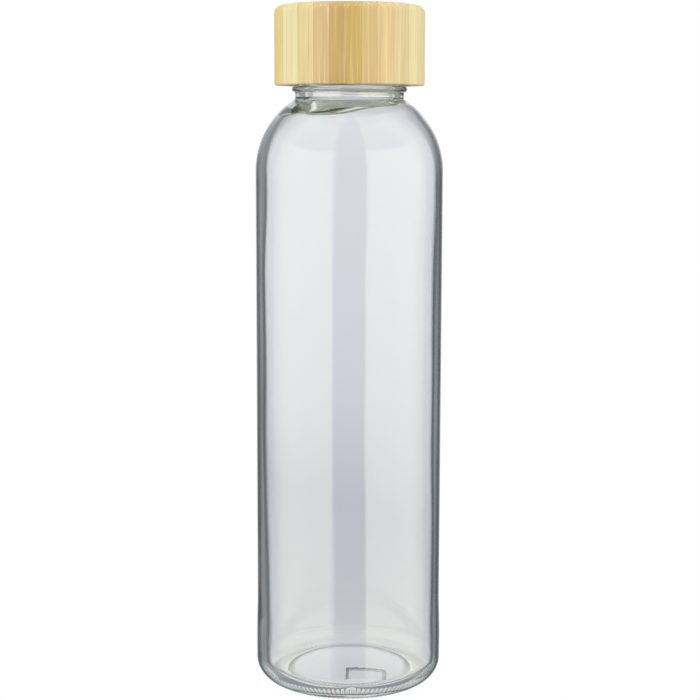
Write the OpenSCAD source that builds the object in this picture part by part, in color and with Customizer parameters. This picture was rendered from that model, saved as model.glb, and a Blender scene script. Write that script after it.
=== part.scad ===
// Glass drinking bottle with a bamboo screw cap.
// The base stands on z = 0 and the bottle's axis is Z. Millimetres.

/* [Glass body] */
// Outer diameter of the body
body_d = 65; // [60:0.5:78]
// Height of the glass, from the base to the rim of the mouth
glass_h = 226; // [170:1:270]
// Wall of the body and the shoulder
wall = 2.2; // [2:0.1:3.4]
// Outer radius of the heel, where the body turns into the base
heel_r = 8; // [6:0.5:9]
// Extra radius of the body just over the heel, where bottles touch each other
heel_swell = 0.3; // [0:0.1:0.8]
// Outer radius of the shoulder's curve
shoulder_r = 29; // [24:0.5:32]
// Distance from the rim down to the level where the shoulder starts
shoulder_drop = 44.8; // [42:0.2:52]

/* [Base] */
// Width of the flat ring that the bottle stands on
stand_w = 2.7; // [2:0.1:4]
// Height of the hollow under the base, at the axis
push_up = 3.4; // [2:0.1:5]
// Thickness of the glass over that hollow, at the axis
base_t = 3; // [2.6:0.1:6]
// Depth of the pocket under the base that lines the bottle up for printing
pocket_depth = 0.9; // [0.4:0.1:1]

/* [Mouth and thread] */
// Diameter of the mouth's bore
bore_d = 30; // [24:0.5:30.5]
// Diameter of the glass inside its thread
root_d = 35.1; // [34:0.1:36]
// Diameter over the glass thread
thread_d = 37.5; // [36.8:0.1:38.5]
// Lead of the thread in one turn
pitch = 4.23; // [4:0.01:4.8]
// Turns of thread on the glass and in the cap
thread_turns = 1.5; // [1:0.25:1.5]
// Distance from the rim to the middle of the thread's upper end
thread_drop = 3; // [2.4:0.1:3.6]
// Diameter of the neck under the bead
neck_d = 37.5; // [36:0.5:38.5]
// Diameter over the bead that is left clear just under the cap
bead_d = 39.8; // [39:0.1:42]
// Radius of the bead's round edge
bead_r = 1; // [0.7:0.1:1.3]

/* [Cap] */
// Outer diameter of the bamboo
cap_d = 51.8; // [48:0.1:63]
// Thickness of the bamboo over the liner
cap_top = 8.1; // [5:0.1:12]
// Gap between the bead and the closed cap
cap_gap = 0.3; // [0.2:0.1:1]
// Radius of the cap's upper edge
cap_edge_r = 2.8; // [1:0.1:4]
// Thickness of one bamboo slat
slat_t = 5.3; // [5:0.1:6.4]
// Distance of the middle glue line from the cap's axis
slat_offset = -1.4; // [-1.8:0.1:1.8]

/* [Liner and seal] */
// Wall of the threaded liner outside its thread
liner_wall = 1.9; // [1.4:0.1:2.3]
// Thickness of the liner's closed end
liner_top = 1.6; // [1:0.1:2.5]
// Distance that the liner's mouth lies inside the bamboo's
liner_inset = 0.8; // [0.4:0.1:1.5]
// Grip ribs round the liner, which bite into the glue
liner_ribs = 36; // [24:1:48]
// Thickness of the silicone seal as it lies on the closed rim
seal_t = 1.8; // [1.2:0.1:2.4]
// Width that the seal reaches inside the mouth's bore
seal_lip = 1.2; // [0.5:0.1:2]

/* [Fits] */
// Radial clearance between the two threads
thread_gap = 0.35; // [0.3:0.05:0.5]
// Clearance between the threads' loaded flanks when closed
flank_gap = 0.2; // [0.15:0.05:0.3]
// Radial clearance round the seal
seal_gap = 0.4; // [0.3:0.05:0.8]
// Glue between the liner and the bamboo
glue = 0.1; // [0.05:0.05:0.2]

/* [Hidden] */
$fn = 96;
slat_count = 10;

body_r = body_d / 2;
inner_r = body_r - wall;
neck_r = neck_d / 2;
bore_r = bore_d / 2;
root_r = root_d / 2;
crest_r = thread_d / 2;
inner_heel_r = heel_r - 2;
heel_cr = body_r + heel_swell - heel_r;
stand_r = heel_cr;
hollow_r = stand_r - stand_w;
// levels between which the body swells towards the heel
swell_z = [18, 30];
// the hollow's round lip, the width of its sloping side, and how far its roof falls towards that side
lip_r = 1;
hollow_side = 3;
hollow_fall = 2.2;
// the inside's floor falls this far from the axis to the heel
floor_fall = 3.2;
floor_z = push_up + base_t;
floor_rim_z = floor_z - floor_fall;

shoulder_z = glass_h - shoulder_drop;
shoulder_cr = body_r - shoulder_r;
neck_fillet = 1.2;
bore_fillet = 1.2;
rim_fillet = 0.9;
// height on the shoulder's circle of radius r at the distance x from the axis
function shoulder_at(x, r) = shoulder_z + sqrt(r * r - pow(x - shoulder_cr, 2));
neck_z = shoulder_at(neck_r + neck_fillet, shoulder_r + neck_fillet);
bore_z = shoulder_at(bore_r + bore_fillet, shoulder_r - wall - bore_fillet);
neck_h = 1.7;
bead_z = neck_z + neck_h + bead_r;
bead_top = bead_z + bead_r;

// the trapezoid of each thread: its width at the wall and at the crest
glass_thread = [2.4, 1.0];
liner_thread = [1.8, 0.7];
thread_top_z = glass_h - thread_drop;
thread_low_z = thread_top_z - pitch * thread_turns;
liner_bore_r = crest_r + thread_gap;
liner_crest_r = root_r + thread_gap;
// width of a trapezoid ridge at the share s of its height
function ridge_w(widths, s) = widths[0] + (widths[1] - widths[0]) * s;
glass_share = (liner_crest_r - root_r) / (crest_r - root_r);
flank_offset = (ridge_w(glass_thread, glass_share) + liner_thread[1]) / 2 + flank_gap;
ridge_steps = 60;
ridge_start = 3;
ridge_fade = 35;
ridge_bury = 0.5;
ridge_dip = 0.15;

liner_r = liner_bore_r + liner_wall;
cap_r = cap_d / 2;
cap_low = bead_top + cap_gap;
liner_low = cap_low + liner_inset;
seal_z = glass_h;
liner_ceiling = seal_z + seal_t;
liner_end = liner_ceiling + liner_top;
cap_bore_r = liner_r + glue;
cap_bore_end = liner_end + glue;
cap_high = cap_bore_end + cap_top;
cap_break = 0.5;
rib_h = 0.35;
seal_r = liner_bore_r - seal_gap;
seal_bore_r = bore_r - seal_lip;

pocket = [12.2, 9];
pocket_at = [5.9, -13];

// points on an arc about [cx, cz], from the angle a to the angle b, in n steps
function arc(cx, cz, r, a, b, n) =
    [for (i = [0:n]) let (t = a + (b - a) * i / n) [cx + r * cos(t), cz + r * sin(t)]];

// angle on a circle about [cx, cz] of the point [x, z]
function angle_to(cx, cz, x, z) = atan2(z - cz, x - cx);

// height of the hollow's roof at the distance x from the axis
function hollow_at(x) = push_up - hollow_fall * pow(x / hollow_r, 2);

function slat_name(i) = str("bamboo_slat_", i < 10 ? "0" : "", i);

// x of the glue line at the upper side of slat i; the outer slats take what is left
function slat_edge(i) =
    i == 0 ? -cap_r - 1 :
    i == slat_count ? cap_r + 1 :
    slat_offset + (i - slat_count / 2) * slat_t;

// A helical ridge on a wall: widths are at the wall and at the crest. The flanks run straight on
// through the wall to a buried base, and both ends dip under the wall's surface.
module ridge(wall_r, peak_r, widths, low_z) {
    side = sign(peak_r - wall_r);
    height = abs(peak_r - wall_r);
    sweep = 360 * thread_turns;
    n = ceil(ridge_steps * thread_turns);
    base_w = ridge_w(widths, -ridge_bury / height);
    points = [
        for (i = [0:n])
            let (
                a = sweep * i / n,
                grow = min(1, a / ridge_fade, (sweep - a) / ridge_fade),
                top_r = wall_r + side * ((height + ridge_dip) * grow - ridge_dip),
                base_r = wall_r - side * ridge_bury,
                z = low_z + pitch * a / 360
            )
            for (p = [[base_r, -base_w / 2], [top_r, -widths[1] / 2],
                      [top_r, widths[1] / 2], [base_r, base_w / 2]])
                [p[0] * cos(a + ridge_start), p[0] * sin(a + ridge_start), z + p[1]]
    ];
    skin = [
        for (i = [0:n - 1], j = [0:3])
            let (k = (j + 1) % 4, q = [i * 4 + j, i * 4 + k, i * 4 + k + 4, i * 4 + j + 4])
            for (t = [[q[0], q[1], q[2]], [q[0], q[2], q[3]]])
                side > 0 ? t : [t[2], t[1], t[0]]
    ];
    ends = [
        for (j = [1:2], t = [[0, j + 1, j], [n * 4, n * 4 + j, n * 4 + j + 1]])
            side > 0 ? t : [t[2], t[1], t[0]]
    ];
    polyhedron(points = points, faces = concat(skin, ends), convexity = 6);
}

// ---- glass ----

// Outside of the glass from the rim down to the hollow under the base.
function glass_outside() = concat(
    arc(root_r - rim_fillet, glass_h - rim_fillet, rim_fillet, 90, 0, 4),
    [[root_r, bead_top]],
    arc(bead_d / 2 - bead_r, bead_z, bead_r, 90, -90, 8),
    arc(neck_r + neck_fillet, neck_z, neck_fillet, 180,
        angle_to(shoulder_cr, shoulder_z, neck_r + neck_fillet, neck_z) + 180, 5),
    arc(shoulder_cr, shoulder_z, shoulder_r,
        angle_to(shoulder_cr, shoulder_z, neck_r + neck_fillet, neck_z), 0, 14),
    [[body_r, swell_z[1]], [body_r + heel_swell, swell_z[0]]],
    arc(heel_cr, heel_r, heel_r, 0, -90, 9),
    arc(hollow_r, lip_r, lip_r, -90, -122, 3),
    [for (i = [4:-1:0]) let (x = (hollow_r - hollow_side) * i / 4) [x, hollow_at(x)]]
);

// Inside of the glass from the middle of its floor up to the rim.
function glass_inside() = concat(
    [for (i = [0:4]) let (x = (inner_r - inner_heel_r) * i / 4)
        [x, floor_z - floor_fall * pow(i / 4, 2)]],
    arc(inner_r - inner_heel_r, floor_rim_z + inner_heel_r, inner_heel_r, -80, 0, 8),
    arc(shoulder_cr, shoulder_z, shoulder_r - wall, 0,
        angle_to(shoulder_cr, shoulder_z, bore_r + bore_fillet, bore_z), 14),
    arc(bore_r + bore_fillet, bore_z,
        bore_fillet, angle_to(shoulder_cr, shoulder_z, bore_r + bore_fillet, bore_z) + 360, 180, 6),
    arc(bore_r + rim_fillet, glass_h - rim_fillet, rim_fillet, 180, 90, 4)
);

module glass_body() {
    color([0.86, 0.9, 0.9, 0.35])
    difference() {
        union() {
            rotate_extrude() polygon(concat(glass_outside(), glass_inside()));
            ridge(root_r, crest_r, glass_thread, thread_low_z);
        }
        lining_up_pocket();
    }
}

// The pocket's roof runs at one depth over the hollow's roof.
module lining_up_pocket() {
    intersection() {
        translate([pocket_at[0], pocket_at[1], 0])
            cube([pocket[0], pocket[1], 2 * push_up + 4 * pocket_depth], center = true);
        rotate_extrude()
            polygon(concat(
                [[0, -1]],
                [[hollow_r, -1]],
                [for (i = [4:-1:0]) let (x = hollow_r * i / 4) [x, hollow_at(x) + pocket_depth]]
            ));
    }
}

// ---- cap ----

module silicone_seal() {
    color([0.93, 0.93, 0.9])
    rotate_extrude()
        translate([seal_bore_r, seal_z]) square([seal_r - seal_bore_r, seal_t]);
}

module cap_liner() {
    color([0.95, 0.95, 0.94])
    union() {
        difference() {
            translate([0, 0, liner_low]) cylinder(r = liner_r - rib_h, h = liner_end - liner_low);
            translate([0, 0, liner_low - 1]) cylinder(r = liner_bore_r, h = liner_ceiling - liner_low + 1);
        }
        for (i = [0:liner_ribs - 1])
            rotate([0, 0, i * 360 / liner_ribs])
                translate([liner_r - rib_h - 0.5, -0.5, liner_low + 1])
                    cube([rib_h + 0.5, 1, liner_end - liner_low - 2]);
        ridge(liner_bore_r, liner_crest_r, liner_thread, thread_low_z - flank_offset);
    }
}

// The turned block, before it is seen as the slats it is glued from.
module bamboo_shell() {
    rotate_extrude()
        polygon(concat(
            [[0, cap_high]],
            arc(cap_r - cap_edge_r, cap_high - cap_edge_r, cap_edge_r, 90, 0, 8),
            [[cap_r, cap_low + cap_break], [cap_r - cap_break, cap_low],
             [cap_bore_r + cap_break, cap_low], [cap_bore_r, cap_low + cap_break],
             [cap_bore_r, cap_bore_end], [0, cap_bore_end]]
        ));
}

module bamboo_slat(i) {
    tone = [[0.91, 0.8, 0.56], [0.93, 0.84, 0.62], [0.89, 0.75, 0.55]][i % 3];
    color(tone)
    intersection() {
        bamboo_shell();
        translate([slat_edge(i - 1), -cap_r - 1, cap_low - 1])
            cube([slat_edge(i) - slat_edge(i - 1), 2 * cap_r + 2, cap_high - cap_low + 2]);
    }
}

glass_body();
silicone_seal();
cap_liner();
for (i = [1:slat_count])
    bamboo_slat(i);
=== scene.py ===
"""Looks of a clear glass drinking bottle with a screw cap turned from laminated bamboo.

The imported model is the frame: each piece below is built where its CAD node lies. Sizes in the
classes are millimetres, and meshes are in metres. Every turned piece starts as an outline in its
half plane, which Geometry Nodes turn about the bottle's axis.
"""
import logging
import math
from dataclasses import dataclass
from enum import Enum
from typing import Any, Union

import bpy
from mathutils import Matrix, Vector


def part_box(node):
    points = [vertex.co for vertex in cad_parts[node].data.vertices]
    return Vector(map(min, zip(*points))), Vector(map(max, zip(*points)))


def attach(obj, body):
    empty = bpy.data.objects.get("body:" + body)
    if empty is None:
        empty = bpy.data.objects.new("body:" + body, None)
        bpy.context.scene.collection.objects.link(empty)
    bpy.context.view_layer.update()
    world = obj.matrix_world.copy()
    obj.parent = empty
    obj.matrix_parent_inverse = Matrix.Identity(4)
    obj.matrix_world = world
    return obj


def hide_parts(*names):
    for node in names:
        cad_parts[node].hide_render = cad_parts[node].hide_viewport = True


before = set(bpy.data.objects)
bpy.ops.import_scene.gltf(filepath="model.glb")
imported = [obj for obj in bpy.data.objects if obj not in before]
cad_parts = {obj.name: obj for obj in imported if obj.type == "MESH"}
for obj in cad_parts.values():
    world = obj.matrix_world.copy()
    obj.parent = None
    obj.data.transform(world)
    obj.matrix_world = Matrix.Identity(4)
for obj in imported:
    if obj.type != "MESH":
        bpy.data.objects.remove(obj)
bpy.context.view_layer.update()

log = logging.getLogger("bottle")

MM = 0.001
TURN = 2 * math.pi
MERGE = 1e-6
Point = tuple[float, float]
Colour = tuple[float, float, float]
WHITE = (1.0, 1.0, 1.0)
ON_WALL = 0.1 * MM
FLAG_FADE = 0.25
FOOT_FADE = 0.12
THREAD_INPUTS = ("Wall Radius", "Height", "Root Width", "Crest Width", "Lead", "Turns", "Low End", "Start",
                 "Run Out")
Value = Union["Field", bpy.types.NodeSocket, float, int, bool, str, tuple]


class TreeKind(Enum):
    """The two kinds of node tree that this script builds."""

    SHAPE = "GeometryNodeTree"
    SHADER = "ShaderNodeTree"


class Kind(Enum):
    """The kinds of socket that a node group has."""

    GEOMETRY = "NodeSocketGeometry"
    NUMBER = "NodeSocketFloat"
    WHOLE = "NodeSocketInt"
    VECTOR = "NodeSocketVector"
    COLOUR = "NodeSocketColor"
    MATERIAL = "NodeSocketMaterial"


# ---- node trees ----


class Field:
    """A number that a node tree works out at each point, with Python's own arithmetic."""

    def __init__(self, graph: "Graph", socket: bpy.types.NodeSocket) -> None:
        """Holds a socket of a graph."""
        self.graph = graph
        self.socket = socket

    def __add__(self, other: Value) -> "Field":
        """The sum."""
        return self.graph.maths("ADD", self, other)

    __radd__ = __add__

    def __sub__(self, other: Value) -> "Field":
        """The difference."""
        return self.graph.maths("SUBTRACT", self, other)

    def __rsub__(self, other: Value) -> "Field":
        """The difference, with this field on the right."""
        return self.graph.maths("SUBTRACT", other, self)

    def __mul__(self, other: Value) -> "Field":
        """The product."""
        return self.graph.maths("MULTIPLY", self, other)

    __rmul__ = __mul__

    def __truediv__(self, other: Value) -> "Field":
        """The quotient."""
        return self.graph.maths("DIVIDE", self, other)

    def __abs__(self) -> "Field":
        """The size without its sign."""
        return self.graph.maths("ABSOLUTE", self)

    def floor(self) -> "Field":
        """The next whole number down."""
        return self.graph.maths("FLOOR", self)

    def nearest(self) -> "Field":
        """The nearest whole number."""
        return self.graph.maths("ROUND", self)

    def cosine(self) -> "Field":
        """The cosine of an angle in radians."""
        return self.graph.maths("COSINE", self)

    def sine(self) -> "Field":
        """The sine of an angle in radians."""
        return self.graph.maths("SINE", self)

    def least(self, other: Value) -> "Field":
        """The smaller of the two."""
        return self.graph.maths("MINIMUM", self, other)

    def below(self, limit: Value) -> "Field":
        """1 where the field is under the limit, and 0 elsewhere."""
        return self.graph.maths("LESS_THAN", self, limit)

    def above(self, limit: Value) -> "Field":
        """1 where the field is over the limit, and 0 elsewhere."""
        return self.graph.maths("GREATER_THAN", self, limit)

    def held(self) -> "Field":
        """The field kept between 0 and 1."""
        return self.graph.maths("MAXIMUM", self.least(1.0), 0.0)

    def ramp(self, start: Value, end: Value) -> "Field":
        """A smooth climb from 0 at start to 1 at end.

        Args:
            start: Where the climb begins.
            end: Where it ends, which may be the smaller one.

        Returns:
            The share of the climb at each point.
        """
        node = self.graph.add("ShaderNodeMapRange", {"Value": self, "From Min": start, "From Max": end},
                              interpolation_type="SMOOTHSTEP")
        return Field(self.graph, node.outputs["Result"])


class Graph:
    """Adds nodes to one node tree and joins them."""

    def __init__(self, tree: bpy.types.NodeTree) -> None:
        """Holds the tree."""
        self.tree = tree
        self.shape = tree.bl_idname == TreeKind.SHAPE.value

    def add(self, kind: str, inputs: dict[Any, Value] | None = None, **settings: Any) -> bpy.types.Node:
        """Adds a node.

        Args:
            kind: The node's Blender type.
            inputs: Values or sockets for its inputs, by name or place.
            **settings: The node's own properties, set before its inputs.

        Returns:
            The node.
        """
        node = self.tree.nodes.new(kind)
        for name, value in settings.items():
            setattr(node, name, value)
        self.fill(node, inputs or {})
        return node

    def fill(self, node: bpy.types.Node, inputs: dict[Any, Value]) -> None:
        """Joins or sets several of a node's inputs, by name or place."""
        for name, value in inputs.items():
            self.feed(node.inputs[name], value)

    def feed(self, socket: bpy.types.NodeSocket, value: Value) -> None:
        """Joins a field or socket to an input, or sets the input's own value."""
        if isinstance(value, Field):
            value = value.socket
        if isinstance(value, bpy.types.NodeSocket):
            self.tree.links.new(value, socket)
        else:
            socket.default_value = value

    def maths(self, operation: str, *values: Value) -> Field:
        """A Math node's result for these values."""
        node = self.add("ShaderNodeMath", dict(enumerate(values)), operation=operation)
        return Field(self, node.outputs[0])

    def combine(self, x: Value, y: Value, z: Value) -> bpy.types.NodeSocket:
        """A vector of three numbers."""
        return self.add("ShaderNodeCombineXYZ", {"X": x, "Y": y, "Z": z}).outputs[0]

    def split(self, vector: Value) -> tuple[Field, Field, Field]:
        """A vector's three numbers."""
        node = self.add("ShaderNodeSeparateXYZ", {"Vector": vector})
        return tuple(Field(self, socket) for socket in node.outputs)

    def position(self) -> tuple[Field, Field, Field]:
        """The point's own place in a shape's tree, and its Object coordinates in a shader's."""
        if self.shape:
            return self.split(self.add("GeometryNodeInputPosition").outputs[0])
        return self.split(self.add("ShaderNodeTexCoord").outputs["Object"])

    def from_axis(self, x: Value, y: Value) -> Field:
        """The distance of a point from the axis."""
        return self.maths("SQRT", x * x + y * y)

    def stored(self, name: str) -> bpy.types.NodeSocket:
        """The number that is stored at each point under a name."""
        return self.add("GeometryNodeInputNamedAttribute", {"Name": name}, data_type="FLOAT").outputs[0]

    def noise(self, vector: Value, detail: float = 2.0) -> Field:
        """Smooth noise from 0 to 1 at a vector, with features about one unit wide."""
        node = self.add("ShaderNodeTexNoise", {"Vector": vector, "Scale": 1.0, "Detail": detail})
        return Field(self, node.outputs[0])

    def mixed(self, share: Value, start: Value, end: Value, blend: str = "MIX") -> bpy.types.NodeSocket:
        """A colour between two others.

        Args:
            share: How much of the second colour there is.
            start: The first colour.
            end: The second colour.
            blend: The Mix node's way of blending.

        Returns:
            The colour's socket.
        """
        node = self.add("ShaderNodeMix", {0: share, 6: start, 7: end}, data_type="RGBA", blend_type=blend)
        return node.outputs[2]

    def shaded(self, colour: Value, shade: Value) -> bpy.types.NodeSocket:
        """A colour made lighter or darker by a number about 1."""
        return self.mixed(1.0, colour, self.combine(shade, shade, shade), "MULTIPLY")

    def gradient(self, share: Value, stops: tuple[tuple[float, Colour], ...]) -> bpy.types.NodeSocket:
        """A colour that runs through stops, each a place from 0 to 1 with its colour."""
        node = self.add("ShaderNodeValToRGB", {"Fac": share})
        elements = node.color_ramp.elements
        while len(elements) < len(stops):
            elements.new(0.5)
        for element, (level, colour) in zip(elements, stops):
            element.position = level
            element.color = (*colour, 1.0)
        return node.outputs["Color"]

    def boolean(self, operation: str, first: Value, second: Value) -> bpy.types.NodeSocket:
        """Cuts, joins or keeps what two closed meshes share.

        Args:
            operation: DIFFERENCE, UNION or INTERSECT.
            first: The mesh that is worked on.
            second: The mesh that works on it.

        Returns:
            The resulting mesh's socket.
        """
        node = self.add("GeometryNodeMeshBoolean", operation=operation, solver="MANIFOLD")
        self.feed(node.inputs[0 if operation == "DIFFERENCE" else 1], first)
        self.feed(node.inputs[1], second)
        return node.outputs["Mesh"]

    def call(self, group: "Group", inputs: dict[str, Value]) -> bpy.types.Node:
        """Places a node group in this tree with its own values."""
        kind = "GeometryNodeGroup" if self.shape else "ShaderNodeGroup"
        return self.add(kind, inputs, node_tree=group.tree)


class Group(Graph):
    """A node group with named inputs and outputs."""

    def __init__(self, name: str, kind: TreeKind, inputs: dict[str, Kind], outputs: dict[str, Kind]) -> None:
        """Makes the group's tree and its sockets."""
        super().__init__(bpy.data.node_groups.new(name, kind.value))
        for sockets, side in ((inputs, "INPUT"), (outputs, "OUTPUT")):
            for label, socket in sockets.items():
                self.tree.interface.new_socket(name=label, in_out=side, socket_type=socket.value)
        self.start = self.tree.nodes.new("NodeGroupInput")
        self.end = self.tree.nodes.new("NodeGroupOutput")

    def given(self, name: str) -> Field:
        """The input of that name."""
        return Field(self, self.start.outputs[name])

    def give(self, name: str, value: Value) -> None:
        """Sends a value to the output of that name."""
        self.feed(self.end.inputs[name], value)

    def hand_on(self, group: "Group", *names: str) -> bpy.types.Node:
        """Places a group that takes this group's own inputs of these names."""
        return self.call(group, {name: self.given(name) for name in names})

    def climb(self, value: Field, name: str) -> Field:
        """A smooth climb between the inputs that are called NAME Start and NAME End."""
        return value.ramp(self.given(f"{name} Start"), self.given(f"{name} End"))


def turning_group() -> Group:
    """Builds the group that turns an outline in the XZ plane about Z into a skin.

    The outline's points run from under the base, round the outside and back down the inside. Its
    attribute ripple, the share of a wall's waves that each point takes, is passed on.

    Returns:
        The group.
    """
    group = Group("Turned outline", TreeKind.SHAPE,
                  {"Outline": Kind.GEOMETRY, "Segments": Kind.WHOLE}, {"Skin": Kind.GEOMETRY})
    outline, segments = group.given("Outline"), group.given("Segments")
    size = group.add("GeometryNodeAttributeDomainSize", {"Geometry": outline})
    count = Field(group, size.outputs["Point Count"])
    grid = group.add("GeometryNodeMeshGrid", {"Vertices X": segments + 1, "Vertices Y": count})
    index = Field(group, group.add("GeometryNodeInputIndex").outputs[0])
    column = ((index + 0.5) / count).floor()
    row = index - column * count
    place = group.add("GeometryNodeInputPosition").outputs[0]
    ripple = group.stored("ripple")
    sources = {"Geometry": outline, "Index": row}
    point = group.add("GeometryNodeSampleIndex", sources | {"Value": place}, data_type="FLOAT_VECTOR")
    share = group.add("GeometryNodeSampleIndex", sources | {"Value": ripple}, data_type="FLOAT")
    radius, _, height = group.split(point.outputs[0])
    angle = column / segments * TURN
    turned = group.add("GeometryNodeSetPosition", {
        "Geometry": grid.outputs["Mesh"],
        "Position": group.combine(radius * angle.cosine(), radius * angle.sine(), height)})
    kept = group.add("GeometryNodeStoreNamedAttribute", {
        "Geometry": turned.outputs[0], "Name": "ripple", "Value": share.outputs[0]}, data_type="FLOAT")
    merged = group.add("GeometryNodeMergeByDistance", {"Geometry": kept.outputs[0], "Distance": MERGE})
    group.give("Skin", merged.outputs[0])
    return group


def thread_group() -> Group:
    """Builds the group that says how far a screw thread stands off the wall that carries it.

    Returns:
        The group, whose Rise is a radial distance.
    """
    group = Group("Screw thread", TreeKind.SHAPE, {name: Kind.NUMBER for name in THREAD_INPUTS},
                  {"Rise": Kind.NUMBER})
    x, y, z = group.position()
    turns, lead, low = group.given("Turns"), group.given("Lead"), group.given("Low End")
    bearing = (group.maths("ARCTAN2", y, x) - group.given("Start")) / TURN
    bearing = bearing - bearing.floor()
    along = bearing + ((z - low) / lead - bearing).nearest()
    offset = abs(z - low - lead * along)
    root, crest = group.given("Root Width"), group.given("Crest Width")
    flank = ((root * 0.5 - offset) / ((root - crest) * 0.5)).held()
    fade = (along.least(turns - along) / group.given("Run Out")).held()
    on_wall = abs(group.from_axis(x, y) - group.given("Wall Radius")).below(ON_WALL)
    group.give("Rise", group.given("Height") * flank * fade * on_wall)
    return group


def dressing_group() -> Group:
    """Builds the group that shades a skin, keeps its true edges sharp and gives it its finish."""
    group = Group("Dressed skin", TreeKind.SHAPE,
                  {"Skin": Kind.GEOMETRY, "Crease": Kind.NUMBER, "Finish": Kind.MATERIAL},
                  {"Skin": Kind.GEOMETRY})
    angle = Field(group, group.add("GeometryNodeInputMeshEdgeAngle").outputs["Unsigned Angle"])
    real = group.add("GeometryNodeRealizeInstances", {"Geometry": group.given("Skin")})
    faces = group.add("GeometryNodeSetShadeSmooth", {"Geometry": real.outputs[0], "Shade Smooth": True},
                      domain="FACE")
    edges = group.add("GeometryNodeSetShadeSmooth", {
        "Geometry": faces.outputs[0], "Selection": angle.above(group.given("Crease")),
        "Shade Smooth": False}, domain="EDGE")
    dressed = group.add("GeometryNodeSetMaterial", {
        "Geometry": edges.outputs[0], "Material": group.given("Finish")})
    group.give("Skin", dressed.outputs[0])
    return group


@dataclass(frozen=True)
class Tooling:
    """The node groups that the pieces and their finishes share."""

    turning: Group
    threading: Group
    dressing: Group
    fibres: Group
    moulding: Group


class PieceTree(Group):
    """The tree that makes one turned piece from its outline, and dresses it."""

    def __init__(self, name: str, tools: Tooling, inputs: dict[str, Kind]) -> None:
        """Makes the tree with its own inputs and those of every piece, and turns the outline."""
        every = {"Outline": Kind.GEOMETRY, "Segments": Kind.WHOLE, "Crease": Kind.NUMBER,
                 "Finish": Kind.MATERIAL}
        super().__init__(name, TreeKind.SHAPE, every | inputs, {"Skin": Kind.GEOMETRY})
        self.tools = tools
        self.turned = self.hand_on(tools.turning, "Outline", "Segments").outputs[0]

    def threaded(self) -> Field:
        """How far the thread stands off its wall at each point."""
        return Field(self, self.hand_on(self.tools.threading, *THREAD_INPUTS).outputs["Rise"])

    def dress(self, skin: bpy.types.NodeSocket) -> None:
        """Shades the finished skin, gives it its finish and sends it out."""
        dressed = self.hand_on(self.tools.dressing, "Crease", "Finish")
        self.feed(dressed.inputs["Skin"], skin)
        self.give("Skin", dressed.outputs[0])


class Outline:
    """A turned piece's section, as (radius, height) points in millimetres."""

    def __init__(self) -> None:
        """Starts with no points."""
        self.points: list[Point] = []
        self.ripples: list[float] = []

    def to(self, radius: float, height: float, steps: int = 1, ripple: float = 0.0) -> "Outline":
        """Adds a straight stretch.

        Args:
            radius: Distance of its end from the axis.
            height: Height of its end.
            steps: How many pieces the stretch has.
            ripple: Share of the wall's waves that it takes.

        Returns:
            The outline.
        """
        start = self.points[-1] if self.points else (radius, height)
        for step in range(1, steps + 1):
            share = step / steps
            self._add(start[0] + (radius - start[0]) * share, start[1] + (height - start[1]) * share, ripple)
        return self

    def arc(self, centre: Point, radius: float, start: float, end: float, steps: int,
            ripple: float = 0.0) -> "Outline":
        """Adds a round stretch.

        Args:
            centre: The arc's centre.
            radius: Its radius.
            start: The angle of its start in degrees, 0 being away from the axis and 90 up.
            end: The angle of its end.
            steps: How many pieces it has.
            ripple: Share of the wall's waves that it takes.

        Returns:
            The outline.
        """
        for step in range(steps + 1):
            angle = math.radians(start + (end - start) * step / steps)
            self._add(centre[0] + radius * math.cos(angle), centre[1] + radius * math.sin(angle), ripple)
        return self

    def _add(self, radius: float, height: float, ripple: float) -> None:
        """Adds a point, unless the last one is already there."""
        if self.points and math.dist(self.points[-1], (radius, height)) < 1e-4:
            return
        self.points.append((radius, height))
        self.ripples.append(ripple)

    def mesh(self, name: str) -> bpy.types.Mesh:
        """The outline as a line of points in the XZ plane, in metres."""
        mesh = bpy.data.meshes.new(name)
        edges = [(i, i + 1) for i in range(len(self.points) - 1)]
        mesh.from_pydata([(r * MM, 0.0, z * MM) for r, z in self.points], edges, [])
        ripple = mesh.attributes.new("ripple", "FLOAT", "POINT")
        ripple.data.foreach_set("value", self.ripples)
        return mesh


def angle_to(centre: Point, point: Point) -> float:
    """The angle in degrees of a point seen from a centre."""
    return math.degrees(math.atan2(point[1] - centre[1], point[0] - centre[0]))


def metres(sizes: dict[str, float]) -> dict[str, float]:
    """Named sizes in millimetres as lengths in metres."""
    return {name: size * MM for name, size in sizes.items()}


def new_object(name: str, data: bpy.types.ID) -> bpy.types.Object:
    """Adds an object to the scene."""
    made = bpy.data.objects.new(name, data)
    bpy.context.scene.collection.objects.link(made)
    return made


def shaped(name: str, outline: Outline, tree: Group, settings: dict[str, Any]) -> bpy.types.Object:
    """Runs a Geometry Nodes tree on an outline and keeps the result as a plain mesh.

    Args:
        name: The piece's name.
        outline: The section that the tree starts from.
        tree: The tree.
        settings: Its inputs by name, lengths in metres.

    Returns:
        The piece, at the origin with its place in its mesh.
    """
    start = outline.mesh(name + "_outline")
    piece = new_object(name, start)
    modifier = piece.modifiers.new("Shape", "NODES")
    modifier.node_group = tree.tree
    for item in tree.tree.interface.items_tree:
        if item.item_type == "SOCKET" and item.in_out == "INPUT" and item.name in settings:
            modifier[item.identifier] = settings[item.name]
    depsgraph = bpy.context.evaluated_depsgraph_get()
    mesh = bpy.data.meshes.new_from_object(piece.evaluated_get(depsgraph))
    piece.modifiers.remove(modifier)
    piece.data = mesh
    mesh.name = name
    bpy.data.meshes.remove(start)
    triangles = sum(len(face.vertices) - 2 for face in mesh.polygons)
    log.info("%s: %d points, %d triangles", name, len(mesh.vertices), triangles)
    return piece


def place(piece: bpy.types.Object, node: str, body: str, slot: str) -> None:
    """Lets a piece stand for its CAD node on its body."""
    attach(piece, body)
    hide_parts(node)


# ---- finishes ----


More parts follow.
